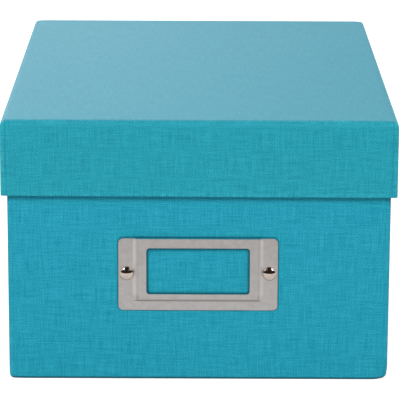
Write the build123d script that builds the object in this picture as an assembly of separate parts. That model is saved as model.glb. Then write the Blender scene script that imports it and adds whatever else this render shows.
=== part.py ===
"""A photo storage box: two folded board trays in a linen wrap, a lift-off lid, a metal label
holder held by two split brads, and a set of tabbed index cards.

Millimetres, +Z up. The origin is on the floor under the middle of the box. The front, with
the label holder, faces -Y, and the length of the box runs along Y.
"""

import os
from math import asin, atan, cos, degrees, radians, sin

from build123d import *

# Overall sizes, over the wrap
LID_WIDTH = 194.0
LID_LENGTH = 280.0
BOX_HEIGHT = 133.0
LID_HEIGHT = 38.0

# Sheet thicknesses
BOARD = 1.5
WRAP = 0.3
LINING = 0.2
STAY_TAPE = 0.12

# Fit of the lid over the base, on each side
LID_CLEARANCE = 0.4

# Folded trays
EDGE_RADIUS = 2.0
RIM_RADIUS = 0.6
TURN_IN = 18.0
CORNER_KERF = 0.2
STAY_LEG = 14.0
STAY_END_GAP = 2.0
SEAM_FROM_CORNER = 2.5
SEAM_STEP = 0.15
CORNER_TAB = 12.0

# Label holder, pressed from sheet metal
HOLDER_WIDTH = 78.7
HOLDER_HEIGHT = 36.6
HOLDER_BOTTOM = 36.3
HOLDER_CORNER = 2.4
HOLDER_SHEET = 0.5
POCKET_DEPTH = 1.0
POCKET_WIDTH = 60.0
POCKET_FLOOR = 5.6
POCKET_CORNER = 3.0
POCKET_BEND = 0.6
FOOT_BEND = 0.5
RAMP_WIDTH = 1.4
WINDOW_WIDTH = 51.1
WINDOW_HEIGHT = 23.6
WINDOW_SILL = 8.4
WINDOW_CORNER = 1.7

# Split brads
BRAD_SPACING = 70.5
BRAD_ABOVE_HOLDER_FOOT = 18.8
BRAD_HOLE_RADIUS = 1.3
SLIT_CLEARANCE = 0.15
CAP_RADIUS = 3.5
CAP_HEIGHT = 1.8
CAP_BRIM = 0.3
CAP_SHEET = 0.35
CAP_HOLLOW_TOP_RADIUS = 0.75
PRONG_THICKNESS = 0.4
PRONG_WIDTH = 2.0
PRONG_REACH = 9.0
PRONG_TIP_RADIUS = 0.9
PRONG_BEND_RADIUS = 0.36

# Index cards, numbered from the front
CARD_COUNT = 6
CARD_SIDE_GAP = 3.0
CARD_HEIGHT = 115.0
CARD_THICKNESS = 0.5
CARD_CORNER = 3.0
TAB_HEIGHT = 9.0
TAB_WIDTH = 28.0
TAB_SLOPE = 72.0
TAB_CORNER = 2.5
CARD_SPACING = 6.0
CARD_GAP = 0.3
CARD_LIFT = 0.05
REAR_CARD_LEAN = 8.0

# Sizes that follow
LAMINATE = WRAP + BOARD + LINING
LID_OVERHANG = LAMINATE + WRAP + LID_CLEARANCE
BASE_WIDTH = LID_WIDTH - 2 * LID_OVERHANG
BASE_LENGTH = LID_LENGTH - 2 * LID_OVERHANG
BASE_HEIGHT = BOX_HEIGHT - LAMINATE
INNER_WIDTH = BASE_WIDTH - 2 * LAMINATE
INNER_LENGTH = BASE_LENGTH - 2 * LAMINATE
BRAD_HEIGHT = HOLDER_BOTTOM + BRAD_ABOVE_HOLDER_FOOT
CARD_WIDTH = INNER_WIDTH - 2 * (WRAP + CARD_SIDE_GAP)
CARD_TOP = CARD_HEIGHT + TAB_HEIGHT
HOLDER_FACE = Plane(origin=(0, -BASE_LENGTH / 2, 0), x_dir=(1, 0, 0), z_dir=(0, -1, 0))

ON_FLOOR = (Align.CENTER, Align.CENTER, Align.MIN)


# Trays: the base and the lid are the same folded, stayed and wrapped tray. Each is built
# with its closed side down and its rim up, and the lid is then turned over.


def block(width, length, bottom, top):
    """A plain block centred on the Z axis."""
    return Pos(0, 0, bottom) * Box(width, length, top - bottom, align=ON_FLOOR)


def folded_block(width, length, bottom, top, radius):
    """A block with its upright edges and the edges of its closed side rounded."""
    plain = block(width, length, bottom, top)
    folds = plain.edges().filter_by(Axis.Z) + plain.faces().sort_by(Axis.Z)[0].edges()
    return fillet(folds, radius)


def board_block(width, length, height):
    """The outside of a tray's board, under its wrap, filled in."""
    radius = EDGE_RADIUS - WRAP
    return folded_block(width - 2 * WRAP, length - 2 * WRAP, WRAP, height - WRAP, radius)


def tray_board(width, length, height):
    """Board cut and folded up from one blank: its walls meet at the corners with a kerf."""
    fold = WRAP + BOARD
    inside = block(width - 2 * fold, length - 2 * fold, fold, height)
    board = board_block(width, length, height) - inside
    for x_side in (-1, 1):
        for y_side in (-1, 1):
            kerf = block(2 * fold, CORNER_KERF, fold, height)
            place = (x_side * width / 2, y_side * (length / 2 - fold - CORNER_KERF / 2))
            board -= Pos(*place) * kerf
    return board


def tray_stays(width, length, height):
    """Paper tape round each upright corner of the board, which holds the walls together."""
    grown_width = width - 2 * WRAP + 2 * STAY_TAPE
    grown_length = length - 2 * WRAP + 2 * STAY_TAPE
    bottom = EDGE_RADIUS
    top = height - WRAP - STAY_END_GAP
    sleeve = block(grown_width, grown_length, bottom, top)
    sleeve = fillet(sleeve.edges().filter_by(Axis.Z), EDGE_RADIUS - WRAP + STAY_TAPE)
    sleeve -= board_block(width, length, height)
    corners = [
        Pos(x_side * width / 2, y_side * length / 2) * block(2 * STAY_LEG, 2 * STAY_LEG, bottom, top)
        for x_side in (-1, 1)
        for y_side in (-1, 1)
    ]
    return Part() + [sleeve & corner for corner in corners]


def corner_overlaps(width, length, height):
    """Where the wrap of the front and the back lies over the tabs that come round the corners:
    it ends in a step just short of the corner, and settles back on the board past the tab."""
    seam = width / 2 - SEAM_FROM_CORNER
    overlaps = []
    for x_side in (-1, 1):
        for y_side in (-1, 1):
            face = y_side * length / 2
            outline = Polyline(
                (x_side * seam, face - y_side * WRAP / 2),
                (x_side * seam, face + y_side * SEAM_STEP),
                (x_side * (seam - CORNER_TAB), face),
                (x_side * (seam - CORNER_TAB), face - y_side * WRAP / 2),
                close=True,
            )
            lap = extrude(make_face(outline), height - EDGE_RADIUS - RIM_RADIUS, dir=(0, 0, 1))
            overlaps.append(Pos(0, 0, EDGE_RADIUS) * lap)
    return overlaps


def tray_wrap(width, length, height):
    """One linen sheet over the outside, round the rim and turned in over the lining."""
    skin = folded_block(width, length, 0, height, EDGE_RADIUS)
    rim = skin.faces().sort_by(Axis.Z)[-1].edges()
    skin = fillet(rim, RIM_RADIUS) - board_block(width, length, height)
    turned = block(width - 2 * LAMINATE, length - 2 * LAMINATE, height - TURN_IN, height - WRAP)
    mouth_inset = LAMINATE + WRAP
    mouth = block(width - 2 * mouth_inset, length - 2 * mouth_inset, height - 2 * TURN_IN, height)
    wrap = skin + corner_overlaps(width, length, height) + turned - mouth
    return wrap - tray_stays(width, length, height)


def tray_lining(width, length, height):
    """Paper over the whole inside of the board, up to the board's edge."""
    fold = WRAP + BOARD
    outside = block(width - 2 * fold, length - 2 * fold, fold, height - WRAP)
    return outside - block(width - 2 * LAMINATE, length - 2 * LAMINATE, LAMINATE, height)


TRAY_PIECES = {
    "board": tray_board,
    "corner_stays": tray_stays,
    "wrap": tray_wrap,
    "lining": tray_lining,
}


def base_piece(make):
    """A piece of the base, with the slits that the brads' prongs pass through."""
    piece = make(BASE_WIDTH, BASE_LENGTH, BASE_HEIGHT)
    slit_width = 2 * (PRONG_THICKNESS + SLIT_CLEARANCE)
    slit_height = PRONG_WIDTH + 2 * SLIT_CLEARANCE
    for place in brad_places():
        piece -= place * Box(slit_width, slit_height, 4 * LAMINATE)
    return piece


def lid_piece(make):
    """A piece of the lid, turned over onto the base."""
    piece = make(LID_WIDTH, LID_LENGTH, LID_HEIGHT)
    return Pos(0, 0, BOX_HEIGHT) * Rot(180, 0, 0) * piece


# Label holder and brads


def brad_places():
    """The two brad axes, at the face of the wrap, pointing out of the box."""
    return [
        HOLDER_FACE.location * Pos(side * BRAD_SPACING / 2, BRAD_HEIGHT)
        for side in (-1, 1)
    ]


def pressing(inset, depth, taper, bend):
    """The raised pocket as a tapered block, open past the top edge of the holder."""
    foot = HOLDER_BOTTOM + POCKET_FLOOR - RAMP_WIDTH + inset
    height = 2 * HOLDER_HEIGHT
    width = POCKET_WIDTH + 2 * RAMP_WIDTH - 2 * inset
    outline = Pos(0, foot + height / 2) * RectangleRounded(width, height, POCKET_CORNER)
    raised = extrude(HOLDER_FACE * outline, depth, taper=taper)
    if bend > 0:
        raised = fillet(raised.faces().sort_by(Axis.Y)[0].edges(), bend)
    return raised


def pocket_foot(holder):
    """The line where the raised pocket leaves the face of the flanges, on its three sides."""
    flange_face = HOLDER_FACE.origin.Y - HOLDER_SHEET
    reach = POCKET_WIDTH / 2 + RAMP_WIDTH
    low = HOLDER_BOTTOM + POCKET_FLOOR / 2
    high = HOLDER_BOTTOM + HOLDER_HEIGHT - HOLDER_CORNER
    on_face = holder.edges().filter_by_position(Axis.Y, flange_face, flange_face)
    return on_face.filter_by_position(Axis.X, -reach, reach).filter_by_position(Axis.Z, low, high)


def label_holder():
    """A sheet metal frame: flat flanges, a raised pocket open at the top, and a window."""
    middle = HOLDER_BOTTOM + HOLDER_HEIGHT / 2
    plate = Pos(0, middle) * RectangleRounded(HOLDER_WIDTH, HOLDER_HEIGHT, HOLDER_CORNER)
    blank = extrude(HOLDER_FACE * plate, HOLDER_SHEET)
    rise = POCKET_DEPTH + HOLDER_SHEET
    slope = atan(RAMP_WIDTH / rise)
    taper = degrees(slope)
    envelope = extrude(HOLDER_FACE * plate, 2 * rise)
    raised = pressing(0, rise, taper, POCKET_BEND) & envelope
    pocket = pressing(HOLDER_SHEET / cos(slope), POCKET_DEPTH, taper, 0)
    sill = HOLDER_BOTTOM + WINDOW_SILL + WINDOW_HEIGHT / 2
    window = Pos(0, sill) * RectangleRounded(WINDOW_WIDTH, WINDOW_HEIGHT, WINDOW_CORNER)
    holder = blank + raised - pocket - extrude(HOLDER_FACE * window, 2 * rise)
    holder = fillet(pocket_foot(holder), FOOT_BEND)
    for place in brad_places():
        holder -= place * Cylinder(BRAD_HOLE_RADIUS, 4 * rise)
    return holder


def dome(radius, height, brim):
    """A round cap with a short upright brim."""
    crown = height - brim
    sphere_radius = (radius**2 + crown**2) / (2 * crown)
    ball = Pos(0, 0, height - sphere_radius) * Sphere(sphere_radius)
    return Cylinder(radius, height, align=ON_FLOOR) & ball


def brad_cap():
    """The stamped dome over the head of the prongs."""
    inner = CAP_RADIUS - CAP_SHEET
    rise = CAP_HEIGHT - CAP_SHEET - CAP_BRIM
    hollow = Cylinder(inner, CAP_BRIM, align=ON_FLOOR)
    hollow += Pos(0, 0, CAP_BRIM) * Cone(inner, CAP_HOLLOW_TOP_RADIUS, rise, align=ON_FLOOR)
    return Pos(0, 0, HOLDER_SHEET) * (dome(CAP_RADIUS, CAP_HEIGHT, CAP_BRIM) - hollow)


def brad_prongs():
    """A flat head under the cap, and two legs through the wall, spread inside the box."""
    head_radius = CAP_RADIUS - CAP_SHEET
    head_height = min(PRONG_THICKNESS, CAP_BRIM)
    prongs = Pos(0, 0, HOLDER_SHEET) * Cylinder(head_radius, head_height, align=ON_FLOOR)
    inner_face = -LAMINATE
    spread_face = inner_face - PRONG_THICKNESS
    for side in (-1, 1):
        shank = Box(PRONG_THICKNESS, PRONG_WIDTH, HOLDER_SHEET - spread_face, align=ON_FLOOR)
        shank = Pos(side * PRONG_THICKNESS / 2, 0, spread_face) * shank
        leg = Box(PRONG_REACH, PRONG_WIDTH, PRONG_THICKNESS, align=ON_FLOOR)
        leg = Pos(side * PRONG_REACH / 2, 0, spread_face) * leg
        tip = leg.edges().filter_by(Axis.Z).sort_by(Axis.X)
        leg = fillet(tip[-2:] if side > 0 else tip[:2], PRONG_TIP_RADIUS)
        bent = shank + leg
        split = bent.edges().filter_by(Axis.Y).sort_by_distance((0, 0, spread_face))[0]
        prongs += fillet(split, PRONG_BEND_RADIUS)
    return prongs


# Index cards


def card_leans():
    """How far each card leans back: each top rests against the card behind it."""
    leans = [REAR_CARD_LEAN]
    while len(leans) < CARD_COUNT:
        behind = radians(leans[0])
        room = CARD_SPACING * cos(behind) - CARD_THICKNESS - CARD_GAP
        leans.insert(0, leans[0] + degrees(asin(room / CARD_TOP)))
    return leans


def card_hinge(number):
    """The line at the foot of a card that it tips about, as its Y and Z."""
    lean = radians(REAR_CARD_LEAN)
    wall = INNER_LENGTH / 2 - WRAP
    rear = wall - CARD_GAP - CARD_TOP * sin(lean) - CARD_THICKNESS / 2 * cos(lean)
    y = rear - (CARD_COUNT - number) * CARD_SPACING
    return y, LAMINATE + CARD_THICKNESS / 2 + CARD_LIFT


def index_card(number):
    """A card with rounded top corners and a tab, one step further right on each card."""
    step = (CARD_WIDTH - TAB_WIDTH) / max(CARD_COUNT - 1, 1)
    tab_x = (number - 1) * step - (CARD_WIDTH - TAB_WIDTH) / 2
    sheet = Pos(0, CARD_HEIGHT / 2) * Rectangle(CARD_WIDTH, CARD_HEIGHT)
    sheet = fillet(sheet.vertices().group_by(Axis.Y)[-1], CARD_CORNER)
    tab_foot = CARD_HEIGHT - 2 * CARD_CORNER
    tab_outline = Trapezoid(TAB_WIDTH, CARD_TOP - tab_foot, TAB_SLOPE)
    tab = Pos(tab_x, (tab_foot + CARD_TOP) / 2) * tab_outline
    tab = fillet(tab.vertices().group_by(Axis.Y)[-1], TAB_CORNER)
    flat = extrude(Plane.XZ * (sheet + tab), CARD_THICKNESS / 2, both=True)
    y, z = card_hinge(number)
    return Pos(0, y, z) * Rot(-card_leans()[number - 1], 0, 0) * flat


def all_nodes():
    """Every separate piece of the box, by name."""
    nodes = {}
    for name, make in TRAY_PIECES.items():
        nodes[f"base_{name}"] = base_piece(make)
        nodes[f"lid_{name}"] = lid_piece(make)
    nodes["label_holder"] = label_holder()
    nodes["brad_caps"] = Part() + [place * brad_cap() for place in brad_places()]
    nodes["brad_prongs"] = Part() + [place * brad_prongs() for place in brad_places()]
    for number in range(1, CARD_COUNT + 1):
        nodes[f"index_card_{number}"] = index_card(number)
    return nodes


os.makedirs("parts", exist_ok=True)
for node_name, solid in all_nodes().items():
    export_step(solid, f"parts/{node_name}.step")
for number, lean in enumerate(card_leans(), 1):
    y, z = card_hinge(number)
    print(f"index card {number}: foot at y {y:.3f}, z {z:.3f}, leans back {lean:.3f} degrees")
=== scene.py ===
"""The looks of a photo storage box: two linen-wrapped trays, a pressed label holder held by
two domed brads, and a set of tabbed index cards.

Metres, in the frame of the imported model: the front faces -Y and +Z is up. Sizes written in
millimetres are multiplied by MM. Left and right are as seen from the front.
"""

from math import pi, radians, sqrt

import bmesh
import bpy
from mathutils import Matrix, Vector


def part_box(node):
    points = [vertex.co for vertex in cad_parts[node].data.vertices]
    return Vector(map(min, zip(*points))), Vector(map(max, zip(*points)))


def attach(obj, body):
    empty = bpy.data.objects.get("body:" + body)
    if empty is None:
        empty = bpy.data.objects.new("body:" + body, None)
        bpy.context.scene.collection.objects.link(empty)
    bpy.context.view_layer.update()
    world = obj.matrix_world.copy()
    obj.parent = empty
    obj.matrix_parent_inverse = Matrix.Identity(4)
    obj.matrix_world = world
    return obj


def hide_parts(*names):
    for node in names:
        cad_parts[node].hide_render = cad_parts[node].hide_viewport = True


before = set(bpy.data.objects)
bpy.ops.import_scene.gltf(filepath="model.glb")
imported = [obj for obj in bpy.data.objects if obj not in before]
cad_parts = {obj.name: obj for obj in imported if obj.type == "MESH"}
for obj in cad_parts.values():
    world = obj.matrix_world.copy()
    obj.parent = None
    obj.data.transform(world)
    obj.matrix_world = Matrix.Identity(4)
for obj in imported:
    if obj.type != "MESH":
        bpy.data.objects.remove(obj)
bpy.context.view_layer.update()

MM = 0.001

# Two places of a mesh nearer than the first are one, and one nearer than the second to a
# plane is on it. A share that is nearly 1 counts as 1.
SAME_PLACE = 1e-6
ON_PLANE = 1e-7
NEARLY = 0.001

# The camera, fitted to the edges of the box in the photograph. Its angles are in degrees, and
# its sensor and lens in millimetres.
CAMERA_PLACE = (-0.00102, -1.32979, 0.39096)
CAMERA_TILT_DOWN = 14.0535
CAMERA_TURN = -0.071
CAMERA_ROLL = 0.2442
CAMERA_SENSOR = 36.0
CAMERA_LENS = 225.61

# The cloth of a tray, folded round the board, over the rim and down the inside. The laminate
# is what the rim's fold goes over: the outer cloth, the board and the lining.
WRAP = 0.3 * MM
LAMINATE = 2.0 * MM
RIM = LAMINATE + WRAP
FOLD_RADIUS = {"base": 2.0 * MM, "lid": 1.3 * MM}
FOLD_SEGMENTS = 8
RIM_RADIUS = 0.4 * MM
RIM_SEGMENTS = 4
TURN_IN = 18.0 * MM

# The cloth of the front and back is lapped over a tab from each side. Its cut end is a small
# step and groove, which fade out towards the tray's closed side.
CORNER_TAB = 12.0 * MM
SEAM_FROM_CORNER = 2.5 * MM
SEAM_STEP = 0.15 * MM
SEAM_GROOVE = 0.12 * MM
SEAM_EDGE = 0.12 * MM
SEAM_FADE = 6.0 * MM

# Cuts across the cloth, so that it can be pressed in. They lie at these gaps from its folds,
# and evenly spaced further in. Up the walls, the even ones start at the first level.
EDGE_CUTS = [gap * MM for gap in (2, 3, 5, 7.5, 11, 16, 23)]
INNER_CUTS = 12 * MM
FIRST_LEVEL = 35 * MM
LEVELS = 8
RIM_CUT = 2 * MM

# Wear of the trays' shape: the corners of the closed side are pressed in, and so are the
# lid's long edges, the more the nearer the front. Pairs are for the left and the right.
CORNER_REACH = 7.0 * MM
CORNER_GIVE = {"base": (0.55 * MM, 2.0 * MM), "lid": (0.25 * MM, 0.25 * MM)}
EDGE_REACH = 3.5 * MM
EDGE_GIVE = {"base": 0.0, "lid": 1.35 * MM}
LESS_AT_MID_LENGTH = 0.35
GIVE_CURVE = 1.5

# The lid's cloth stands off its sides a little, and its rim hangs lower, more at the right.
# The band is how far above the rim's fold the cloth goes down with it.
LID_SLACK = 0.25 * MM
LID_RIM_DROP = (0.25 * MM, 0.6 * MM)
LID_RIM_BAND = 0.1 * MM

# The hidden board and tape. What lies within the outer skin is pressed in with the cloth. At
# the base's right bottom corners, which are pressed in most, the gaps to the three outer faces
# add up to the blunt corner at least, so that nothing comes through.
OUTER_SKIN = 1.7 * MM
BLUNT_CORNER = 5.9 * MM

# Tones along a tray's folds and seams. The strip, a painted highlight, and the dark line, painted shade,
# follow the closed edge, and the line is darkest in its core, which is a share of its reach.
WEAR_REACH = 3.2 * MM
WEAR_SHOWS = 0.35
FOLD_BAND = 3.3 * MM
STRIP_STARTS = 0.3 * FOLD_BAND
STRIP_FULL = 0.55 * FOLD_BAND
STRIP_FADES = 0.85 * FOLD_BAND
DARK_CORE = 0.4
SEAM_LINE = 0.3 * MM
SEAM_CORE = 0.3 * SEAM_LINE
SEAM_BLUR = 1.3 * SEAM_LINE
SEAM_WANDER = 6 * SEAM_LINE

# The dent that the label holder presses into the cloth, and painted shade round it and round its window
PRESSED_REACH = 1.3 * MM
PRESSED_DEPTH = 0.4 * MM
PRESSED_LIFT = 0.2 * PRESSED_REACH
DENT_SHADE = 0.6
WINDOW_SHADE = 0.7

# The weave: its lengths, in millimetres of cloth. A slub is a stretch of thicker thread.
THREAD = 0.65
THREAD_RUN = 13.0
SLUB = THREAD / 0.6
SLUB_RUN = 26.0

# The weave: patches in a millimetre, and how strongly each part shows
FLECK_SCALE = 2.6
WANDER_SCALE = 0.35
FLECK = 2.4
WANDER = 5.0
STREAK = 1.1
SLUBS = 0.45
SLUB_DARK = 0.3
CROSSING = 0.46
CLOUD = 0.12

# Places far apart in the noise, so that no two sides and no two sets of threads are alike
SIDE_SLICE = 31.0
LEVEL_SLICE = 67.0
BACK_SLICE = 11.0
THREAD_SLICE = 40.0
SLUB_SLICE = 80.0
SLUB_SHIFT = 9.0

# Cloth that faces up is calmer, and gets a little painted sheen: a paler, bluer tint
TOP_CALM = 0.42
TOP_SHEEN = 0.06
SHEEN_TINT = (0.6, 0.75, 1.0, 1)

# Board, paper and card: how far the clouding, and not the pulp, makes the shade, and how
# strongly the fibres show
CLOUDED = 0.4
FIBRE_DARK = 0.12
FIBRE_RELIEF = 0.3

# Plated sheet: the slant of the scratches, in degrees, and how far the grain makes the marks
# and the mottle the gloss
SCRATCH_SLANT = 38
GRAIN = 0.5
MOTTLED = 0.4

# The label holder. An edge that turns sharply, in degrees, is rounded.
HOLDER_SHIFT = -0.35 * MM
HOLDER_SHEET = 0.5 * MM
HOLDER_CORNER = 2.4 * MM
HOLDER_RISE = 1.2 * MM
HOLDER_EDGE = 0.12 * MM
HOLDER_EDGE_SEGMENTS = 2
POCKET_FOOT_X = 32.4 * MM
POCKET_TOP_X = 30.0 * MM
POCKET_FOOT_ABOVE_EDGE = 4.4 * MM
POCKET_TOP_ABOVE_EDGE = 5.4 * MM
POCKET_SIDE_CUTS = 0.25 * MM
POCKET_FOOT_CUTS = 0.125 * MM
WINDOW_WIDTH = 51.1 * MM
WINDOW_HEIGHT = 23.6 * MM
WINDOW_SILL = 8.4 * MM
WINDOW_CORNER = 1.7 * MM
SHEET_CORNER_SEGMENTS = 8
SHARP_TURN = 50

# Its painted light: painted shade in the crease round the pocket, darkest along the foot, and a painted
# highlight up the slopes
CREASE_REACH = 0.8 * MM
CREASE_SHADE = 0.62
CREASE_EASED = 0.45
CREASE_EASES_OVER = 4 * CREASE_REACH
SLOPE_OUT = 0.3 * MM
SLOPE_REACH = 1.5 * CREASE_REACH
SLOPE_HIGHLIGHT = 0.5

# The brads
CAP_HEIGHT = 1.8 * MM
CAP_BRIM = 0.3 * MM
CAP_EDGE = 0.1 * MM
CAP_EDGE_SEGMENTS = 3
CAP_SEGMENTS_ROUND = 64
CAP_SEGMENTS_UP = 48

# The studio. Only reflections see the dark cards. A turn is in degrees.
WORLD_FILL = 0.2
FLOOR_SIZE = (8.0, 8.0)
FLOOR_LIFT = 0.75
FLOOR_GLOSS = 0.3
SKY_COLOUR = (0.8, 0.9, 1.0)
LAMPS = {
    "key_left": {"place": (-1.2, -1.6, 1.6), "target": (0, 0, 0.08), "size": (0.8, 0.9), "power": 30.5},
    "key_right": {"place": (1.2, -1.6, 1.6), "target": (0, 0, 0.08), "size": (0.8, 0.9), "power": 26.5},
    "top": {
        "place": (0, 0.3, 1.6), "target": (0, 0, 0.13), "size": (0.8, 0.8),
        "power": 8.5, "colour": SKY_COLOUR,
    },
    "back_left": {
        "place": (-0.6, 1.6, 0.6), "target": (0, 0, 0.13), "size": (1.4, 0.5),
        "power": 8.0, "colour": SKY_COLOUR,
    },
}
DARK_CARDS = {
    "dark_wall": {"size": (4.0, 0.55), "place": (0, -0.7, 0.275), "turn": 90},
    "dark_ceiling": {"size": (0.5, 0.6), "place": (0, -0.26, 0.5), "turn": 70, "top_share": 0.25},
}


# Node trees


class Graph:
    """Adds nodes to one tree. An input may be a number, a colour, a vector or a socket."""

    def __init__(self, tree):
        self.tree = tree

    def add(self, kind, inputs=None, **settings):
        node = self.tree.nodes.new(kind)
        for name, value in settings.items():
            setattr(node, name, value)
        for key, value in (inputs or {}).items():
            if isinstance(value, bpy.types.NodeSocket):
                self.tree.links.new(value, node.inputs[key])
            else:
                node.inputs[key].default_value = value
        return node

    def math(self, operation, first, second=0.0, third=0.0):
        inputs = {0: first, 1: second, 2: third}
        return self.add("ShaderNodeMath", inputs, operation=operation).outputs[0]

    def vector_math(self, operation, first, second=(0, 0, 0)):
        inputs = {0: first, 1: second}
        return self.add("ShaderNodeVectorMath", inputs, operation=operation).outputs[0]

    def sized(self, vector, scale):
        inputs = {0: vector, "Scale": scale}
        return self.add("ShaderNodeVectorMath", inputs, operation="SCALE").outputs[0]

    def axes(self, vector):
        return self.add("ShaderNodeSeparateXYZ", {0: vector}).outputs

    def around_zero(self, value):
        """A value between 0 and 1, moved to lie evenly on both sides of zero."""
        return self.math("SUBTRACT", value, 0.5)

    def mix(self, share, first, second):
        inputs = {0: share, 6: first, 7: second}
        return self.add("ShaderNodeMix", inputs, data_type="RGBA").outputs[2]

    def ramp(self, value, low, high, first=0.0, last=1.0):
        """A smooth step of a value from first to last between low and high."""
        inputs = {"Value": value, "From Min": low, "From Max": high, "To Min": first, "To Max": last}
        return self.add("ShaderNodeMapRange", inputs, interpolation_type="SMOOTHSTEP").outputs[0]

    def scaled(self, vector, scale, place=(0, 0, 0), turn=(0, 0, 0)):
        inputs = {"Vector": vector, "Scale": scale, "Location": place, "Rotation": turn}
        return self.add("ShaderNodeMapping", inputs).outputs[0]

    def noise(self, vector, scale=1.0, detail=2.0, roughness=0.5):
        inputs = {"Vector": vector, "Scale": scale, "Detail": detail, "Roughness": roughness}
        return self.add("ShaderNodeTexNoise", inputs).outputs[0]

    def bump(self, height, strength, distance, under=None):
        inputs = {"Height": height, "Strength": strength, "Distance": distance}
        if under is not None:
            inputs["Normal"] = under
        return self.add("ShaderNodeBump", inputs).outputs[0]

    def group(self, tree, **inputs):
        named = {name.replace("_", " ").capitalize(): value for name, value in inputs.items()}
        return self.add("ShaderNodeGroup", named, node_tree=tree).outputs


def new_group(name, inputs, outputs):
    """An empty node group with its sockets, its graph, and its entry."""
    tree = bpy.data.node_groups.new(name, "ShaderNodeTree")
    for label, kind in inputs.items():
        tree.interface.new_socket(label, in_out="INPUT", socket_type=f"NodeSocket{kind}")
    for label, kind in outputs.items():
        tree.interface.new_socket(label, in_out="OUTPUT", socket_type=f"NodeSocket{kind}")
    graph = Graph(tree)
    entry = graph.add("NodeGroupInput").outputs
    return tree, graph, entry


def cloth_plane_group():
    """Lays a flat cloth coordinate, in millimetres, on whichever side of the box a point is."""
    tree, graph, entry = new_group(
        "cloth_plane", {"Position": "Vector", "Normal": "Vector"}, {"Cloth": "Vector"}
    )
    place = graph.axes(entry["Position"])
    facing = graph.axes(entry["Normal"])
    across, along, level = (graph.math("ABSOLUTE", facing[axis]) for axis in range(3))
    on_side = graph.math("GREATER_THAN", across, graph.math("MAXIMUM", along, level))
    on_level = graph.math("GREATER_THAN", level, graph.math("MAXIMUM", across, along))
    behind = graph.math("GREATER_THAN", place[1], 0.0)
    to_side = graph.math("SUBTRACT", place[1], place[0])
    to_level = graph.math("SUBTRACT", place[1], place[2])
    weft = graph.math("MULTIPLY_ADD", on_side, to_side, place[0])
    warp = graph.math("MULTIPLY_ADD", on_level, to_level, place[2])
    level_slice = graph.math("MULTIPLY", on_level, LEVEL_SLICE)
    sheet = graph.math("MULTIPLY_ADD", on_side, SIDE_SLICE, level_slice)
    sheet = graph.math("MULTIPLY_ADD", behind, BACK_SLICE, sheet)
    weft = graph.math("DIVIDE", weft, MM)
    warp = graph.math("DIVIDE", warp, MM)
    cloth = graph.add("ShaderNodeCombineXYZ", {0: weft, 1: warp, 2: sheet}).outputs[0]
    graph.add("NodeGroupOutput", {"Cloth": cloth})
    return tree


def drawn_out(graph, cloth, axis, width, run, place):
    """A cloth coordinate drawn out along the threads that lie side by side on an axis."""
    scale = [1 / run, 1 / run, 1.0]
    scale[axis] = 1 / width
    return graph.scaled(cloth, scale, place)


def linen_weave_group():
    """A plain linen weave: rounded threads that cross over and under, uneven in thickness and
    colour, with long thick slubs here and there."""
    tree, graph, entry = new_group(
        "linen_weave", {"Cloth": "Vector", "Slubs": "Float"}, {"Shade": "Float", "Height": "Float"}
    )
    cloth = entry["Cloth"]
    across = graph.axes(cloth)
    wander = graph.around_zero(graph.noise(cloth, scale=WANDER_SCALE, detail=3.0))
    fleck = graph.around_zero(graph.noise(cloth, scale=FLECK_SCALE, detail=1.0))
    shade = graph.math("MULTIPLY_ADD", fleck, FLECK, 0.5)
    ridges = []
    waves = []
    for axis in (0, 1):
        place = (0, 0, THREAD_SLICE * axis)
        threads = drawn_out(graph, cloth, axis, THREAD, THREAD_RUN, place)
        streak = graph.noise(threads, detail=2.0, roughness=0.6)
        place = (SLUB_SHIFT, SLUB_SHIFT, SLUB_SLICE + THREAD_SLICE * axis)
        threads = drawn_out(graph, cloth, axis, SLUB, SLUB_RUN, place)
        slub = graph.ramp(graph.noise(threads, detail=1.0), low=0.56, high=0.72)
        slub = graph.math("MULTIPLY", slub, entry["Slubs"])
        shade = graph.math("MULTIPLY_ADD", graph.around_zero(streak), STREAK, shade)
        shade = graph.math("MULTIPLY_ADD", slub, -SLUB_DARK, shade)
        turns = graph.math("MULTIPLY", across[axis], pi / THREAD)
        wave = graph.math("SINE", graph.math("MULTIPLY_ADD", wander, WANDER, turns))
        waves.append(wave)
        thickness = graph.math("ADD", streak, slub)
        ridges.append(graph.math("ADD", graph.math("ABSOLUTE", wave), thickness))
    crossing = graph.math("MULTIPLY", waves[0], waves[1])
    over = graph.math("MULTIPLY_ADD", crossing, 0.5, 0.5)
    height = graph.add("ShaderNodeMix", {0: over, 2: ridges[0], 3: ridges[1]}).outputs[0]
    shade = graph.math("MULTIPLY_ADD", crossing, CROSSING, shade)
    graph.add("NodeGroupOutput", {"Shade": shade, "Height": height})
    return tree


def fold_wear_group():
    """How near a point of a box is to its folds, broken up as worn paper and cloth are."""
    tree, graph, entry = new_group(
        "fold_wear",
        {"Position": "Vector", "Half size": "Vector", "Reach": "Float"},
        {"Wear": "Float"},
    )
    apart = graph.vector_math("ABSOLUTE", entry["Position"])
    gaps = graph.axes(graph.vector_math("SUBTRACT", entry["Half size"], apart))
    total = graph.math("ADD", gaps[0], graph.math("ADD", gaps[1], gaps[2]))
    widest = graph.math("MAXIMUM", gaps[0], graph.math("MAXIMUM", gaps[1], gaps[2]))
    from_fold = graph.math("SUBTRACT", total, widest)
    near = graph.ramp(from_fold, 0.0, entry["Reach"], 1.0, 0.0)
    patches = graph.noise(entry["Position"], scale=420.0, detail=4.0, roughness=0.65)
    broken = graph.ramp(patches, low=0.42, high=0.7)
    graph.add("NodeGroupOutput", {"Wear": graph.math("MULTIPLY", near, broken)})
    return tree


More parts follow.
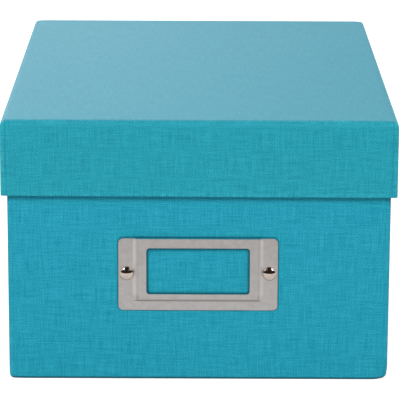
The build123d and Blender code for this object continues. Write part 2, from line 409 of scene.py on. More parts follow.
def closed_edge_group():
    """The band along a tray's closed edge: a dark line along the crest, which is painted shade, and a
    paler strip beside it, which is a painted highlight."""
    tree, graph, entry = new_group(
        "closed_edge",
        {"Position": "Vector", "Crest": "Float", "Line reach": "Float"},
        {"Strip": "Float", "Line": "Float"},
    )
    level = graph.axes(entry["Position"])[2]
    depth = graph.math("ABSOLUTE", graph.math("SUBTRACT", level, entry["Crest"]))
    appears = graph.ramp(depth, STRIP_STARTS, STRIP_FULL)
    strip = graph.math("MULTIPLY", appears, graph.ramp(depth, STRIP_FADES, FOLD_BAND, 1.0, 0.0))
    core = graph.math("MULTIPLY", entry["Line reach"], DARK_CORE)
    line = graph.ramp(depth, core, entry["Line reach"], 1.0, 0.0)
    graph.add("NodeGroupOutput", {"Strip": strip, "Line": line})
    return tree


def seam_line_group():
    """The cut end of the cloth on the front and back, a thin uneven line of painted shade up each
    corner.
    """
    tree, graph, entry = new_group(
        "seam_shade", {"Position": "Vector", "Normal": "Vector", "Seam": "Float"}, {"Line": "Float"}
    )
    place = graph.axes(entry["Position"])
    facing = graph.axes(entry["Normal"])
    upward = graph.add("ShaderNodeCombineXYZ", {0: place[1], 2: place[2]}).outputs[0]
    wander = graph.around_zero(graph.noise(upward, scale=60.0, detail=1.0))
    seam = graph.math("MULTIPLY_ADD", wander, SEAM_WANDER, entry["Seam"])
    apart = graph.math("SUBTRACT", graph.math("ABSOLUTE", place[0]), seam)
    line = graph.ramp(graph.math("ABSOLUTE", apart), SEAM_CORE, SEAM_BLUR, 1.0, 0.0)
    on_wall = graph.ramp(graph.math("ABSOLUTE", facing[1]), low=0.5, high=0.7)
    graph.add("NodeGroupOutput", {"Line": graph.math("MULTIPLY", line, on_wall)})
    return tree


def near_outline_group():
    """How near a point of the front is to the outline of a rectangle on it, 1 on the outline.
    The half size is that of the rectangle without its rounded corners."""
    tree, graph, entry = new_group(
        "near_outline",
        {
            "Position": "Vector", "Middle": "Vector", "Half size": "Vector",
            "Corner": "Float", "Reach": "Float",
        },
        {"Nearness": "Float"},
    )
    apart = graph.vector_math("SUBTRACT", entry["Position"], entry["Middle"])
    apart = graph.vector_math("ABSOLUTE", apart)
    beyond = graph.axes(graph.vector_math("SUBTRACT", apart, entry["Half size"]))
    across = graph.math("MAXIMUM", beyond[0], 0.0)
    above = graph.math("MAXIMUM", beyond[2], 0.0)
    squared = graph.math("MULTIPLY_ADD", across, across, graph.math("MULTIPLY", above, above))
    inside = graph.math("MINIMUM", graph.math("MAXIMUM", beyond[0], beyond[2]), 0.0)
    distance = graph.math("ADD", graph.math("SQRT", squared), inside)
    distance = graph.math("ABSOLUTE", graph.math("SUBTRACT", distance, entry["Corner"]))
    nearness = graph.math("SUBTRACT", 1.0, graph.math("DIVIDE", distance, entry["Reach"]))
    nearness = graph.math("MAXIMUM", nearness, 0.0)
    in_front = graph.math("LESS_THAN", graph.axes(entry["Position"])[1], 0.0)
    graph.add("NodeGroupOutput", {"Nearness": graph.math("MULTIPLY", nearness, in_front)})
    return tree


def paper_fibre_group():
    """Mottled pulp with short fibres, for board, paper, card and tape."""
    tree, graph, entry = new_group(
        "paper_fibre", {"Position": "Vector", "Scale": "Float"}, {"Shade": "Float", "Height": "Float"}
    )
    sized = graph.sized(entry["Position"], entry["Scale"])
    cloud = graph.noise(sized, scale=0.25, detail=3.0)
    pulp = graph.noise(sized, scale=2.2, detail=5.0, roughness=0.7)
    stretched = graph.vector_math("MULTIPLY", sized, (3.0, 0.35, 3.0))
    fibre = graph.ramp(graph.noise(stretched, scale=1.4), low=0.62, high=0.7)
    shade = graph.math("MULTIPLY_ADD", cloud, CLOUDED, graph.math("MULTIPLY", pulp, 1 - CLOUDED))
    shade = graph.math("MULTIPLY_ADD", fibre, -FIBRE_DARK, shade)
    height = graph.math("MULTIPLY_ADD", fibre, FIBRE_RELIEF, pulp)
    graph.add("NodeGroupOutput", {"Shade": shade, "Height": height})
    return tree


def metal_grain_group():
    """The mottle, lengthways grain and fine scratches of handled plated sheet."""
    tree, graph, entry = new_group(
        "metal_grain", {"Position": "Vector"}, {"Mottle": "Float", "Scratch": "Float"}
    )
    place = graph.sized(entry["Position"], 1 / MM)
    mottle = graph.noise(place, scale=0.35, detail=4.0, roughness=0.6)
    grain = graph.noise(graph.scaled(place, (0.25, 1.0, 9.0)), detail=3.0, roughness=0.6)
    slanted = graph.scaled(place, (0.12, 1.0, 6.0), turn=(0, radians(SCRATCH_SLANT), 0))
    scratch = graph.ramp(graph.noise(slanted), low=0.66, high=0.72)
    scratch = graph.math("MULTIPLY", scratch, 1 - GRAIN)
    scratch = graph.math("MULTIPLY_ADD", grain, GRAIN, scratch)
    graph.add("NodeGroupOutput", {"Mottle": mottle, "Scratch": scratch})
    return tree


CLOTH_PLANE = cloth_plane_group()
LINEN_WEAVE = linen_weave_group()
FOLD_WEAR = fold_wear_group()
NEAR_OUTLINE = near_outline_group()
CLOSED_EDGE = closed_edge_group()
SEAM = seam_line_group()
PAPER_FIBRE = paper_fibre_group()
METAL_GRAIN = metal_grain_group()


# Materials


def new_material(name, **surface):
    """A material with a Principled surface, its graph, and its object coordinates."""
    material = bpy.data.materials.new(name)
    material.use_nodes = True
    material.node_tree.nodes.clear()
    graph = Graph(material.node_tree)
    where = graph.add("ShaderNodeTexCoord").outputs
    shader = graph.add("ShaderNodeBsdfPrincipled")
    for label, value in surface.items():
        shader.inputs[label.replace("_", " ")].default_value = value
    graph.add("ShaderNodeOutputMaterial", {"Surface": shader.outputs[0]})
    return material, graph, shader, where


def join(graph, shader, **sockets):
    """Feeds sockets of the surface from the graph."""
    for label, socket in sockets.items():
        graph.tree.links.new(socket, shader.inputs[label.replace("_", " ")])


def toned(colour, share, lift=0.0):
    """A colour made darker or paler."""
    return [min(1.0, share * value + lift) for value in colour[:3]] + [1.0]


def closed_level(tray):
    """The height of a tray's closed side: the underside of the base or the top of the lid."""
    low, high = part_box(f"{tray}_wrap")
    return low.z if tray == "base" else high.z


def near_outline(graph, place, middle, half_width, half_height, reach, corner=0.0):
    """How near a place is to the outline of a rectangle, rounded or not, on the front."""
    half_size = (half_width - corner, 0, half_height - corner)
    return graph.group(
        NEAR_OUTLINE, position=place, middle=middle, half_size=half_size, corner=corner, reach=reach
    )["Nearness"]


def holder_dent_and_shade(graph, place, colour, normal, dark):
    """The dent that the label holder presses into the cloth, and painted shade: dark lines round it
    and round its window."""
    low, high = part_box("label_holder")
    middle = (HOLDER_SHIFT, low.y, (low.z + high.z) / 2 + PRESSED_LIFT)
    half_width = (high.x - low.x) / 2
    half_height = (high.z - low.z) / 2
    near_holder = near_outline(
        graph, place, middle, half_width, half_height, PRESSED_REACH, HOLDER_CORNER
    )
    dent = graph.math("MULTIPLY", near_holder, near_holder)
    middle = (HOLDER_SHIFT, low.y, low.z + WINDOW_SILL + WINDOW_HEIGHT / 2)
    near_window = near_outline(
        graph, place, middle, WINDOW_WIDTH / 2, WINDOW_HEIGHT / 2, PRESSED_REACH, WINDOW_CORNER
    )
    # painted shade round the holder and inside its window
    colour = graph.mix(graph.math("MULTIPLY", dent, DENT_SHADE), colour, dark)
    colour = graph.mix(graph.math("MULTIPLY", near_window, WINDOW_SHADE), colour, dark)
    return colour, graph.bump(graph.math("MULTIPLY", dent, -1.0), 1.0, PRESSED_DEPTH, normal)


def linen(name, tray, deep, light, ior, strip, crest_shade, seam_shade):
    """Linen-finish cloth wrap of a tray, between a deep and a light colour, worn paler along the
    folds. Faces that look up get a painted sheen. The last three values are how strongly the pale
    strip of its closed edge, a painted highlight, and the dark line there and along its seams,
    painted shade, show."""
    surface = {"Roughness": 0.6, "IOR": ior, "Sheen_Weight": 0.1, "Sheen_Roughness": 0.3}
    material, graph, shader, where = new_material(name, **surface)
    place = where["Object"]
    low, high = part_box(f"{tray}_wrap")
    half_size = [(b - a) / 2 for a, b in zip(low, high)]
    centred = graph.scaled(place, (1, 1, 1), [-(a + b) / 2 for a, b in zip(low, high)])
    wear = graph.group(FOLD_WEAR, position=centred, half_size=half_size, reach=WEAR_REACH)["Wear"]
    level = closed_level(tray)
    edge = graph.group(CLOSED_EDGE, position=place, crest=level, line_reach=FOLD_RADIUS[tray])
    seam_x = half_size[0] - SEAM_FROM_CORNER
    seam = graph.group(SEAM, position=place, normal=where["Normal"], seam=seam_x)["Line"]

    cloth = graph.group(CLOTH_PLANE, position=place, normal=where["Normal"])["Cloth"]
    weave = graph.group(LINEN_WEAVE, cloth=cloth, slubs=SLUBS)
    cloud = graph.around_zero(graph.noise(place, scale=14.0))
    shade = graph.math("MULTIPLY_ADD", cloud, CLOUD, weave["Shade"])
    upward = graph.ramp(graph.axes(where["Normal"])[2], low=0.5, high=0.9)
    calm = graph.math("MULTIPLY", upward, TOP_CALM)
    shade = graph.math("MULTIPLY_ADD", graph.math("SUBTRACT", 0.5, shade), calm, shade)

    # The paler tone is both the worn folds and the painted highlight of the strip; the darker tone is
    # painted shade
    rubbed_and_lit = toned(light, share=1.35, lift=0.03)
    shadowed = toned(deep, share=0.25)
    colour = graph.mix(shade, deep, light)
    for where_it_shows, strength, tone in (
        # painted sheen: cloth that faces up is tinted paler and bluer
        (upward, TOP_SHEEN, SHEEN_TINT),
        (wear, WEAR_SHOWS, rubbed_and_lit),
        # painted highlight: the pale strip beside the closed edge
        (edge["Strip"], strip, rubbed_and_lit),
        # painted shade: the dark line along the closed edge
        (edge["Line"], crest_shade, shadowed),
        # painted shade along the lapped cut ends
        (seam, seam_shade, deep),
    ):
        colour = graph.mix(graph.math("MULTIPLY", where_it_shows, strength), colour, tone)
    roughness = graph.ramp(weave["Height"], low=0.4, high=1.8, first=0.68, last=0.54)
    normal = graph.bump(weave["Height"], strength=0.35, distance=0.08 * MM)
    if tray == "base":
        colour, normal = holder_dent_and_shade(graph, place, colour, normal, shadowed)
    join(graph, shader, Base_Color=colour, Roughness=roughness, Normal=normal)
    return material


def paper(name, dark, pale, scale, relief, roughness):
    """Board, paper or card stock with visible pulp and fibres."""
    material, graph, shader, where = new_material(name, Roughness=roughness, IOR=1.4)
    pulp = graph.group(PAPER_FIBRE, position=where["Object"], scale=scale)
    join(graph, shader, Base_Color=graph.mix(pulp["Shade"], dark, pale))
    join(graph, shader, Normal=graph.bump(pulp["Height"], strength=0.25, distance=relief))
    return material


def pocket_tones(graph, place):
    """Where the label holder gets painted shade, in the crease round its pocket and most along the
    bottom, and a painted highlight, up the slopes at the pocket's sides. The rectangles run on above
    the holder, so that they are open at the top on it."""
    low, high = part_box("label_holder")
    foot = low.z + POCKET_TOP_ABOVE_EDGE
    middle = (HOLDER_SHIFT, low.y, high.z)
    height = high.z - foot
    crease = near_outline(graph, place, middle, POCKET_TOP_X, height, CREASE_REACH)
    slope_x = (POCKET_TOP_X + POCKET_FOOT_X) / 2 + SLOPE_OUT
    slope = near_outline(graph, place, middle, slope_x, height, SLOPE_REACH)
    upward = graph.ramp(graph.axes(place)[2], foot + CREASE_REACH, foot + CREASE_EASES_OVER)
    strength = graph.math("MULTIPLY_ADD", upward, -CREASE_EASED, CREASE_SHADE)
    slope_light = graph.math("MULTIPLY", graph.math("MULTIPLY", slope, upward), SLOPE_HIGHLIGHT)
    return graph.math("MULTIPLY", crease, strength), slope_light


def plated(name, dull, bright, smooth, rough, pocket_light_and_shade=False):
    """Nickel-plated or steel sheet with faint mottle and scratches. The label holder's sheet also
    gets painted shade in the crease round its pocket and a painted highlight up its slopes.
    """
    material, graph, shader, where = new_material(name, Metallic=1.0, Roughness=rough)
    grain = graph.group(METAL_GRAIN, position=where["Object"])
    colour = graph.mix(graph.ramp(grain["Mottle"], low=0.3, high=0.7), dull, bright)
    if pocket_light_and_shade:
        crease, slope_light = pocket_tones(graph, where["Object"])
        # painted highlight up the pocket's slopes, then painted shade in its crease
        colour = graph.mix(slope_light, colour, toned(bright, share=1.3))
        colour = graph.mix(crease, colour, toned(dull, share=0.4))
    mottle = graph.math("MULTIPLY", grain["Mottle"], MOTTLED)
    marks = graph.math("MULTIPLY_ADD", grain["Scratch"], 1 - MOTTLED, mottle)
    roughness = graph.ramp(marks, low=0.3, high=0.7, first=smooth, last=rough)
    join(graph, shader, Base_Color=colour, Roughness=roughness)
    join(graph, shader, Normal=graph.bump(grain["Scratch"], strength=0.08, distance=0.02 * MM))
    return material


# Shapes


def new_verts(made):
    """The vertices among what an operator made."""
    return [item for item in made["geom"] if isinstance(item, bmesh.types.BMVert)]


def round_off(shape, items, radius, segments, affect="EDGES"):
    """Rounds edges of a mesh, or flat corners of it."""
    bmesh.ops.bevel(
        shape, geom=items, offset=radius, segments=segments, profile=0.5, affect=affect, material=-1
    )


def cut(shape, axis, place, faces=None):
    """Cuts a mesh, or some of its faces, by a plane square to an axis."""
    chosen = faces if faces is not None else shape.faces[:]
    geometry = set(chosen)
    for face in chosen:
        geometry.update(face.edges)
        geometry.update(face.verts)
    normal = Vector([1.0 if index == axis else 0.0 for index in range(3)])
    bmesh.ops.bisect_plane(
        shape, geom=list(geometry), plane_co=normal * place, plane_no=normal, dist=ON_PLANE
    )


def stand_up(shape):
    """Turns a shape that was made flat, facing up, to face the front."""
    bmesh.ops.rotate(shape, verts=shape.verts, matrix=Matrix.Rotation(pi / 2, 4, "X"))


def finish_piece(shape, name, material, body, slot, *nodes):
    """Makes a piece of a mesh being built: it rides on a body and stands for CAD nodes."""
    data = bpy.data.meshes.new(name)
    shape.to_mesh(data)
    shape.free()
    data.polygons.foreach_set("use_smooth", [True] * len(data.polygons))
    data.materials.append(material)
    piece = bpy.data.objects.new(name, data)
    bpy.context.scene.collection.objects.link(piece)
    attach(piece, body)
    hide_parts(*nodes)
    return piece


def give_thickness(piece, thickness):
    """Gives a sheet its thickness, inwards from the face that is modelled."""
    modifier = piece.modifiers.new("thickness", "SOLIDIFY")
    modifier.thickness = thickness
    modifier.offset = -1
    return modifier


def weigh_normals(piece):
    """Keeps large flat faces flat in the shading beside their rounded edges."""
    modifier = piece.modifiers.new("flat_faces", "WEIGHTED_NORMAL")
    modifier.keep_sharp = True


def press(verts, tray):
    """Presses in the corners of a tray's closed side, and the long edges of the lid."""
    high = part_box(f"{tray}_wrap")[1]
    closed = closed_level(tray)
    left_right_give = CORNER_GIVE[tray]
    for vert in verts:
        x_gap = high.x - abs(vert.co.x)
        y_gap = high.y - SEAM_STEP - abs(vert.co.y)
        z_gap = abs(vert.co.z - closed)
        inward = Vector((-1 if vert.co.x > 0 else 1, 0, 1 if tray == "base" else -1))
        edge = 1 - sqrt(x_gap**2 + z_gap**2) / EDGE_REACH
        corner = 1 - sqrt(x_gap**2 + y_gap**2 + z_gap**2) / CORNER_REACH
        if edge > 0:
            to_front = 1 - LESS_AT_MID_LENGTH * (vert.co.y + high.y) / high.y
            vert.co += inward.normalized() * EDGE_GIVE[tray] * to_front * edge**GIVE_CURVE
        if corner > 0:
            inward.y = -1 if vert.co.y > 0 else 1
            vert.co += inward.normalized() * left_right_give[vert.co.x > 0] * corner**GIVE_CURVE


def tray_sheet(width, length, height):
    """The outside of a tray's cloth, square-edged and rim up, with its closed side on z = 0."""
    shape = bmesh.new()
    bmesh.ops.create_cube(shape, size=1.0)
    bmesh.ops.translate(shape, verts=shape.verts, vec=(0, 0, 0.5))
    bmesh.ops.scale(shape, verts=shape.verts, vec=(width, length, height))
    mouth = max(shape.faces, key=lambda face: face.calc_center_median().z)
    bmesh.ops.inset_region(shape, faces=[mouth], thickness=RIM, use_even_offset=True)
    lip = list(mouth.edges)
    bmesh.ops.delete(shape, geom=[mouth], context="FACES_ONLY")
    turned = new_verts(bmesh.ops.extrude_edge_only(shape, edges=lip))
    bmesh.ops.translate(shape, verts=turned, vec=(0, 0, -TURN_IN))
    return shape


def round_folds(shape, width, height, fold):
    """Rounds the folds of the closed side and up the corners, and the fold over the rim."""

    def is_fold(edge):
        is_outer = all(abs(vert.co.x) > width / 2 - RIM / 2 for vert in edge.verts)
        return is_outer and min(vert.co.z for vert in edge.verts) < height / 2

    def is_rim(edge):
        is_top = all(abs(vert.co.z - height) < SAME_PLACE for vert in edge.verts)
        return is_top and len({round(face.normal.z) for face in edge.link_faces}) == 2

    round_off(shape, [edge for edge in shape.edges if is_fold(edge)], fold, FOLD_SEGMENTS)
    round_off(shape, [edge for edge in shape.edges if is_rim(edge)], RIM_RADIUS, RIM_SEGMENTS)


def cut_for_pressing(shape, width, length, height):
    """Cuts the cloth across, closest near its folds, so that it can be pressed in there."""
    for axis, size in enumerate((width, length)):
        count = int((size / 2 - 2 * INNER_CUTS) / INNER_CUTS) + 1
        inner = [index * INNER_CUTS for index in range(count)]
        for place in inner + [size / 2 - gap for gap in EDGE_CUTS]:
            cut(shape, axis, place)
            if place > 0:
                cut(shape, axis, -place)
    for level in EDGE_CUTS + [FIRST_LEVEL + index * INNER_CUTS for index in range(LEVELS)]:
        if level < height - 2 * RIM_CUT:
            cut(shape, 2, level)
    cut(shape, 2, height - RIM_CUT)


def lap_ends(shape, width, length, height, fold):
    """Lifts the cloth of the front and back over the tabs under it, up to its cut end."""
    seam = width / 2 - SEAM_FROM_CORNER
    for side in (-1, 1):
        for place in (seam, seam + SEAM_EDGE, seam + 2 * SEAM_EDGE, seam - CORNER_TAB):
            walls = [
                face for face in shape.faces
                if abs(face.normal.y) > 1 - NEARLY and abs(face.calc_center_median().y) > length / 2 - MM
            ]
            cut(shape, 0, side * place, walls)
    for vert in shape.verts:
        is_flat = abs(abs(vert.co.y) - length / 2) < SAME_PLACE
        on_wall = is_flat and vert.co.z < height - RIM_RADIUS / 2
        lap = (abs(vert.co.x) - seam + CORNER_TAB) / CORNER_TAB
        fade = min(1.0, max(0.0, (vert.co.z - fold) / SEAM_FADE))
        outward = 1 if vert.co.y > 0 else -1
        if on_wall and 0 < lap < 1 + NEARLY:
            vert.co.y += outward * SEAM_STEP * lap * fade
        elif on_wall and abs(abs(vert.co.x) - seam - SEAM_EDGE) < SAME_PLACE:
            vert.co.y -= outward * SEAM_GROOVE * fade


def tray_cloth(width, length, height, fold):
    """The outside of a tray's cloth, rim up, its closed side on z = 0: folded round the board,
    over the rim and in, with its front and back lapped over the tabs from the sides."""
    shape = tray_sheet(width, length, height)
    round_folds(shape, width, height, fold)
    cut_for_pressing(shape, width, length, height)
    lap_ends(shape, width, length, height, fold)
    return shape


def finish_cloth(shape, material, tray):
    """Makes the piece of a tray's cloth and gives it its thickness, towards the board."""
    piece = finish_piece(shape, f"{tray}_cloth", material, tray, "linen_cloth", f"{tray}_wrap")
    give_thickness(piece, WRAP).use_even_offset = True
    weigh_normals(piece)


def pressed_piece(node, name, material, slot):
    """A hidden piece of a tray under its cloth: its outer faces are pressed in with the cloth
    and its inner faces stay where they are."""
    tray = node.split("_")[0]
    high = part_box(f"{tray}_wrap")[1]
    closed = closed_level(tray)
    shape = bmesh.new()
    shape.from_mesh(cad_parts[node].data)
    bmesh.ops.remove_doubles(shape, verts=shape.verts, dist=SAME_PLACE)
    unpressed = [vert.co.copy() for vert in shape.verts]
    press(shape.verts, tray)
    for vert, place in zip(shape.verts, unpressed):
        gaps = (high.x - abs(place.x), high.y - abs(place.y), abs(place.z - closed))
        free = [axis for axis in range(3) if gaps[axis] < OUTER_SKIN]
        for axis in {0, 1, 2}.difference(free):
            vert.co[axis] = place[axis]
        if tray == "base" and place.x > 0 and free:
            now = (high.x - vert.co.x, high.y - abs(vert.co.y), vert.co.z - closed)
            short = max(0.0, BLUNT_CORNER - sum(now)) / len(free)
            inward = (-1, -1 if place.y > 0 else 1, 1)
            for axis in free:
                vert.co[axis] += short * inward[axis]
    finish_piece(shape, name, material, tray, slot, node)


def pressed_step(distance, foot, top):
    """How far up its slope the pressing is: 0 at the foot and 1 at the top."""
    share = min(1.0, max(0.0, (distance - foot) / (top - foot)))
    return share * share * (3 - 2 * share)


def holder_blank(width, height):
    """The flat face of the label holder, with its rounded corners and its window."""
    shape = bmesh.new()
    window_lift = WINDOW_SILL + (WINDOW_HEIGHT - height) / 2
    for wide, tall, corner, lift in (
        (width, height, HOLDER_CORNER, 0.0),
        (WINDOW_WIDTH, WINDOW_HEIGHT, WINDOW_CORNER, window_lift),
    ):
        corners = bmesh.ops.create_grid(shape, x_segments=1, y_segments=1, size=0.5)["verts"]
        bmesh.ops.scale(shape, verts=corners, vec=(wide, tall, 1))
        bmesh.ops.translate(shape, verts=corners, vec=(0, lift, 0))
        round_off(shape, corners, corner, SHEET_CORNER_SEGMENTS, "VERTICES")
    bmesh.ops.delete(shape, geom=shape.faces[:], context="FACES_ONLY")
    bmesh.ops.bridge_loops(shape, edges=shape.edges[:])
    return shape


def press_pocket(shape, height):
    """Presses the pocket out of the label holder's flat face, open at its top edge."""
    slope = POCKET_FOOT_X - POCKET_TOP_X
    for index in range(int(slope / POCKET_SIDE_CUTS) + 2):
        for side in (-1, 1):
            cut(shape, 0, side * (POCKET_TOP_X + index * POCKET_SIDE_CUTS))
    slope = POCKET_TOP_ABOVE_EDGE - POCKET_FOOT_ABOVE_EDGE
    for index in range(int(slope / POCKET_FOOT_CUTS) + 1):
        cut(shape, 1, POCKET_FOOT_ABOVE_EDGE + index * POCKET_FOOT_CUTS - height / 2)
    for vert in shape.verts:
        across = pressed_step(-abs(vert.co.x), -POCKET_FOOT_X, -POCKET_TOP_X)
        up = pressed_step(vert.co.y + height / 2, POCKET_FOOT_ABOVE_EDGE, POCKET_TOP_ABOVE_EDGE)
        vert.co.z += HOLDER_RISE * across * up


def label_holder(material):
    """The label holder: a sheet pressed out in the middle for the card, with a window."""
    low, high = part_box("label_holder")
    height = high.z - low.z
    shape = holder_blank(high.x - low.x, height)
    press_pocket(shape, height)
    bmesh.ops.recalc_face_normals(shape, faces=shape.faces)
    if sum(face.normal.z for face in shape.faces) < 0:
        bmesh.ops.reverse_faces(shape, faces=shape.faces)
    stand_up(shape)
    place = (HOLDER_SHIFT, high.y - HOLDER_SHEET, (low.z + high.z) / 2)
    bmesh.ops.translate(shape, verts=shape.verts, vec=place)
    piece = finish_piece(shape, "label_holder_sheet", material, "base", "satin_nickel", "label_holder")
    give_thickness(piece, HOLDER_SHEET)
    edge = piece.modifiers.new("edge", "BEVEL")
    edge.width = HOLDER_EDGE
    edge.segments = HOLDER_EDGE_SEGMENTS
    edge.angle_limit = radians(SHARP_TURN)
    weigh_normals(piece)


def cap_dome(radius):
    """The stamped dome of one brad, facing up, with a short straight brim at its foot."""
    crown = CAP_HEIGHT - CAP_BRIM
    ball = (radius**2 + crown**2) / (2 * crown)
    dome = bmesh.new()
    bmesh.ops.create_uvsphere(
        dome, u_segments=CAP_SEGMENTS_ROUND, v_segments=CAP_SEGMENTS_UP, radius=ball
    )
    bmesh.ops.translate(dome, verts=dome.verts, vec=(0, 0, CAP_HEIGHT - ball))
    everything = dome.verts[:] + dome.edges[:] + dome.faces[:]
    brim = (0, 0, CAP_BRIM)
    bmesh.ops.bisect_plane(dome, geom=everything, plane_co=brim, plane_no=(0, 0, 1), clear_inner=True)
    rim = [edge for edge in dome.edges if edge.is_boundary]
    lower = new_verts(bmesh.ops.extrude_edge_only(dome, edges=rim))
    bmesh.ops.translate(dome, verts=lower, vec=(0, 0, -CAP_BRIM))
    foot = [edge for edge in dome.edges if edge.is_boundary]
    bmesh.ops.contextual_create(dome, geom=foot)
    shoulder = [
        edge for edge in dome.edges
        if all(abs(vert.co.z - CAP_BRIM) < ON_PLANE for vert in edge.verts)
    ]
    round_off(dome, shoulder, CAP_EDGE, CAP_EDGE_SEGMENTS)
    bmesh.ops.recalc_face_normals(dome, faces=dome.faces)
    return dome


def brad_caps(material):
    """The two stamped domes over the heads of the brads."""
    low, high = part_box("brad_caps")
    radius = (high.z - low.z) / 2
    shape = bmesh.new()
    for side in (-1, 1):
        dome = cap_dome(radius)
        stand_up(dome)
        place = (side * (high.x - radius) + HOLDER_SHIFT, high.y, low.z + radius)
        bmesh.ops.translate(dome, verts=dome.verts, vec=place)
        spare = bpy.data.meshes.new("cap")
        dome.to_mesh(spare)
        dome.free()
        shape.from_mesh(spare)
        bpy.data.meshes.remove(spare)
    piece = finish_piece(shape, "brad_domes", material, "base", "polished_nickel", "brad_caps")
    weigh_normals(piece)


# The object


def base_cloth():
    """The cloth of the base."""
    low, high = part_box("base_wrap")
    cloth = linen(
        "linen_base", "base", deep=(0.0, 0.235, 0.335, 1), light=(0.03, 0.432, 0.567, 1),
        ior=1.26, strip=0.0, crest_shade=0.7, seam_shade=0.12,
    )
    length = high.y - low.y - 2 * SEAM_STEP
    shape = tray_cloth(high.x - low.x, length, high.z, FOLD_RADIUS["base"])
    press(shape.verts, "base")
    finish_cloth(shape, cloth, "base")


def lid_cloth():
    """The cloth of the lid, a little slack at the sides and lower at the rim."""
    low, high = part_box("lid_wrap")
    cloth = linen(
        "linen_lid", "lid", deep=(0.0, 0.228, 0.3, 1), light=(0.024, 0.425, 0.527, 1),
        ior=1.33, strip=0.09, crest_shade=0.25, seam_shade=0.5,
    )
    width = high.x - low.x + 2 * LID_SLACK
    length = high.y - low.y - 2 * SEAM_STEP
    shape = tray_cloth(width, length, high.z - low.z, FOLD_RADIUS["lid"])
    bmesh.ops.rotate(shape, verts=shape.verts, matrix=Matrix.Rotation(pi, 4, "X"))
    bmesh.ops.translate(shape, verts=shape.verts, vec=(0, 0, high.z))
    press(shape.verts, "lid")
    left_drop, right_drop = LID_RIM_DROP
    for vert in shape.verts:
        if vert.co.z < low.z + RIM_RADIUS + LID_RIM_BAND:
            vert.co.z -= left_drop + (right_drop - left_drop) * (vert.co.x - low.x) / (high.x - low.x)
    finish_cloth(shape, cloth, "lid")


def board_and_stays():
    """The hidden board of both trays, and the tape round its upright corners."""
    greyboard = paper(
        "greyboard", dark=(0.16, 0.15, 0.13, 1), pale=(0.34, 0.32, 0.29, 1),
        scale=1200.0, relief=0.05 * MM, roughness=0.9,
    )
    stay_tape = paper(
        "stay_tape", dark=(0.52, 0.38, 0.23, 1), pale=(0.66, 0.52, 0.34, 1),
        scale=1500.0, relief=0.03 * MM, roughness=0.8,
    )
    for tray in ("base", "lid"):
        pressed_piece(f"{tray}_board", f"{tray}_board_pressed", greyboard, "greyboard")
        pressed_piece(f"{tray}_corner_stays", f"{tray}_stays_pressed", stay_tape, "stay_tape")


def dress(nodes, material):
    """Gives CAD nodes whose shape is right their material."""
    for name in nodes:
        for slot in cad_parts[name].material_slots:
            slot.material = material


def linings():
    """The paper lining of both trays."""
    lining_paper = paper(
        "lining_paper", dark=(0.66, 0.66, 0.64, 1), pale=(0.84, 0.84, 0.82, 1),
        scale=1800.0, relief=0.02 * MM, roughness=0.7,
    )
    dress(["base_lining", "lid_lining"], lining_paper)


def index_cards():
    """The tabbed cards that stand in the base."""
    card_stock = paper(
        "card_stock", dark=(0.74, 0.72, 0.66, 1), pale=(0.88, 0.87, 0.82, 1),
        scale=2200.0, relief=0.01 * MM, roughness=0.6,
    )
    dress([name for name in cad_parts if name.startswith("index_card")], card_stock)


def hardware():
    """The label holder and its two brads."""
    satin_nickel = plated(
        "satin_nickel", dull=(0.505, 0.468, 0.448, 1), bright=(0.57, 0.53, 0.51, 1),
        smooth=0.40, rough=0.50, pocket_light_and_shade=True,
    )
    polished_nickel = plated(
        "polished_nickel", dull=(0.56, 0.45, 0.38, 1), bright=(0.635, 0.52, 0.445, 1),
        smooth=0.05, rough=0.14,
    )
    brad_steel = plated(
        "brad_steel", dull=(0.55, 0.53, 0.50, 1), bright=(0.66, 0.64, 0.60, 1),
        smooth=0.28, rough=0.42,
    )
    dress(["brad_prongs"], brad_steel)
    label_holder(satin_nickel)
    brad_caps(polished_nickel)


# The studio


def area_lamp(name, place, target, size, power, colour=(1, 1, 1)):
    """A soft rectangular lamp that shines at a target."""
    lamp = bpy.data.lights.new(name, "AREA")
    lamp.color = colour
    lamp.shape = "RECTANGLE"
    lamp.size, lamp.size_y = size
    lamp.energy = power
    holder = bpy.data.objects.new(name, lamp)
    direction = Vector(target) - Vector(place)
    holder.matrix_world = Matrix.LocRotScale(place, direction.to_track_quat("-Z", "Y"), None)
    bpy.context.scene.collection.objects.link(holder)


def stage_plane(name, material, size, place=(0, 0, 0), turn=0, top_share=1.0):
    """A plane of the studio. Its far or upper edge may be a share of its width."""
    shape = bmesh.new()
    corners = bmesh.ops.create_grid(shape, x_segments=1, y_segments=1, size=0.5)["verts"]
    far = [vert for vert in corners if vert.co.y > 0]
    bmesh.ops.scale(shape, verts=far, vec=(top_share, 1, 1))
    bmesh.ops.scale(shape, verts=shape.verts, vec=(size[0], size[1], 1))
    bmesh.ops.rotate(shape, verts=shape.verts, matrix=Matrix.Rotation(radians(turn), 4, "X"))
    bmesh.ops.translate(shape, verts=shape.verts, vec=place)
    data = bpy.data.meshes.new(name)
    shape.to_mesh(data)
    shape.free()
    data.materials.append(material)
    plane = bpy.data.objects.new(name, data)
    bpy.context.scene.collection.objects.link(plane)
    return plane


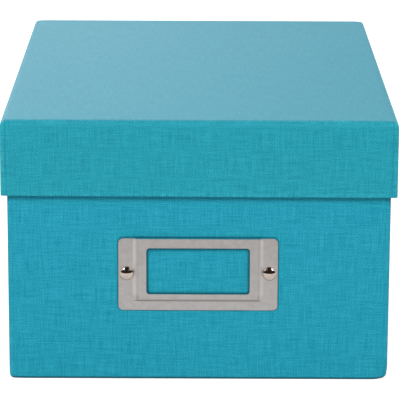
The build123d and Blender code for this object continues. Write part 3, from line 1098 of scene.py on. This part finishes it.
def surround():
    """A white surround, dim as a light but at full strength to the camera and in reflections."""
    world = bpy.data.worlds.new("studio")
    bpy.context.scene.world = world
    world.use_nodes = True
    world.node_tree.nodes.clear()
    graph = Graph(world.node_tree)
    ray = graph.add("ShaderNodeLightPath").outputs
    seen = graph.math("MAXIMUM", ray["Is Camera Ray"], ray["Is Glossy Ray"])
    seen = graph.math("MAXIMUM", seen, ray["Is Transmission Ray"])
    strength = graph.math("MULTIPLY_ADD", seen, 1.0 - WORLD_FILL, WORLD_FILL)
    sky = graph.add("ShaderNodeBackground", {"Color": (1, 1, 1, 1), "Strength": strength}).outputs[0]
    graph.add("ShaderNodeOutputWorld", {"Surface": sky})


def floor():
    """A pale grey floor, lifted to white for the camera and partly in reflections."""
    grey = {"Base_Color": (0.62, 0.62, 0.62, 1), "Emission_Color": (1, 1, 1, 1), "Roughness": 0.9}
    material, graph, shader = new_material("floor", **grey)[:3]
    ray = graph.add("ShaderNodeLightPath").outputs
    mirrored = graph.math("MAXIMUM", ray["Is Glossy Ray"], ray["Is Transmission Ray"])
    lift = graph.math("MULTIPLY", ray["Is Camera Ray"], FLOOR_LIFT)
    lift = graph.math("MULTIPLY_ADD", mirrored, FLOOR_GLOSS, lift)
    join(graph, shader, Emission_Strength=lift)
    stage_plane("floor", material, FLOOR_SIZE)


def dark_room():
    """A dark wall in front of the box and a sloped card above it, for reflections alone."""
    dark = new_material("dark_room", Base_Color=(0.012, 0.011, 0.01, 1), Roughness=0.9)[0]
    for name, card in DARK_CARDS.items():
        plane = stage_plane(name, dark, **card)
        plane.visible_camera = False
        plane.visible_diffuse = False
        plane.visible_shadow = False
        plane.visible_transmission = False


def studio():
    """The surround, the floor, the dark cards, and soft lamps in front, above and behind."""
    surround()
    floor()
    dark_room()
    for name, lamp in LAMPS.items():
        area_lamp(name, **lamp)


def camera():
    """The camera at the photograph's place."""
    data = bpy.data.cameras.new("camera")
    data.sensor_width = CAMERA_SENSOR
    data.lens = CAMERA_LENS
    viewer = bpy.data.objects.new("camera", data)
    turn = Matrix.Rotation(radians(CAMERA_TURN), 4, "Z")
    tilt = Matrix.Rotation(radians(90 - CAMERA_TILT_DOWN), 4, "X")
    roll = Matrix.Rotation(radians(CAMERA_ROLL), 4, "Z")
    viewer.matrix_world = Matrix.Translation(CAMERA_PLACE) @ turn @ tilt @ roll
    bpy.context.scene.collection.objects.link(viewer)
    bpy.context.scene.camera = viewer


base_cloth()
lid_cloth()
board_and_stays()
linings()
index_cards()
hardware()

studio()
camera()
bpy.context.scene.view_settings.view_transform = "Standard"
